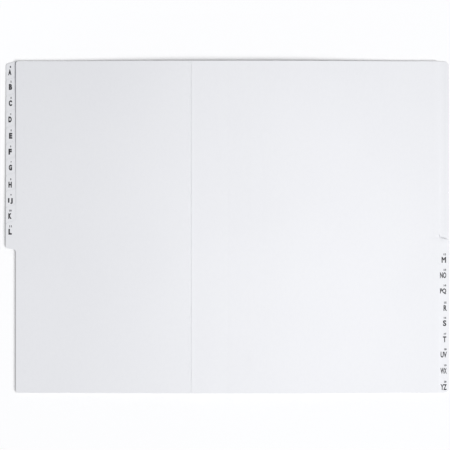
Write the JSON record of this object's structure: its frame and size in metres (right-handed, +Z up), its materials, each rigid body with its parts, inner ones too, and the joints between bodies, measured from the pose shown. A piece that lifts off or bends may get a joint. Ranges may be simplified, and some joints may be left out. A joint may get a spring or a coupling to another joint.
{
  "type": "alphabetical desk sorter",
  "caption": "Desk sorter lying open: card leaves with stepped index tabs and glued folded flaps between two board covers with a cloth spine.",
  "frame": {"origin": "on the table, at the centre of the open sorter's footprint, under the fold between the two halves", "axes": "+X to the right of the open spread, +Y to its top edge, +Z up"},
  "size_m": [0.4746, 0.355, 0.0106],
  "materials": {
    "card": "smooth matt white card",
    "board": "matt white lined board",
    "cloth": "fine pale grey woven cloth"
  },
  "bodies": {
    "back_half": {"back_cover": "board", "spine_cloth": "cloth", "leaf_M": "card", "leaf_NO": "card", "leaf_PQ": "card", "leaf_R": "card", "leaf_S": "card", "leaf_T": "card", "leaf_UV": "card", "leaf_WX": "card", "leaf_YZ": "card"},
    "front_half": {"front_cover": "board", "leaf_A": "card", "leaf_B": "card", "leaf_C": "card", "leaf_D": "card", "leaf_E": "card", "leaf_F": "card", "leaf_G": "card", "leaf_H": "card", "leaf_IJ": "card", "leaf_K": "card", "leaf_L": "card"}
  },
  "joints": [
    {"name": "cover_fold", "type": "hinge", "parent": "back_half", "child": "front_half", "pos_m": [0, 0, 0.01065], "axis": [0, 1, 0], "range_deg": [0, 180], "deforming": ["leaf_M", "spine_cloth"]}
  ]
}
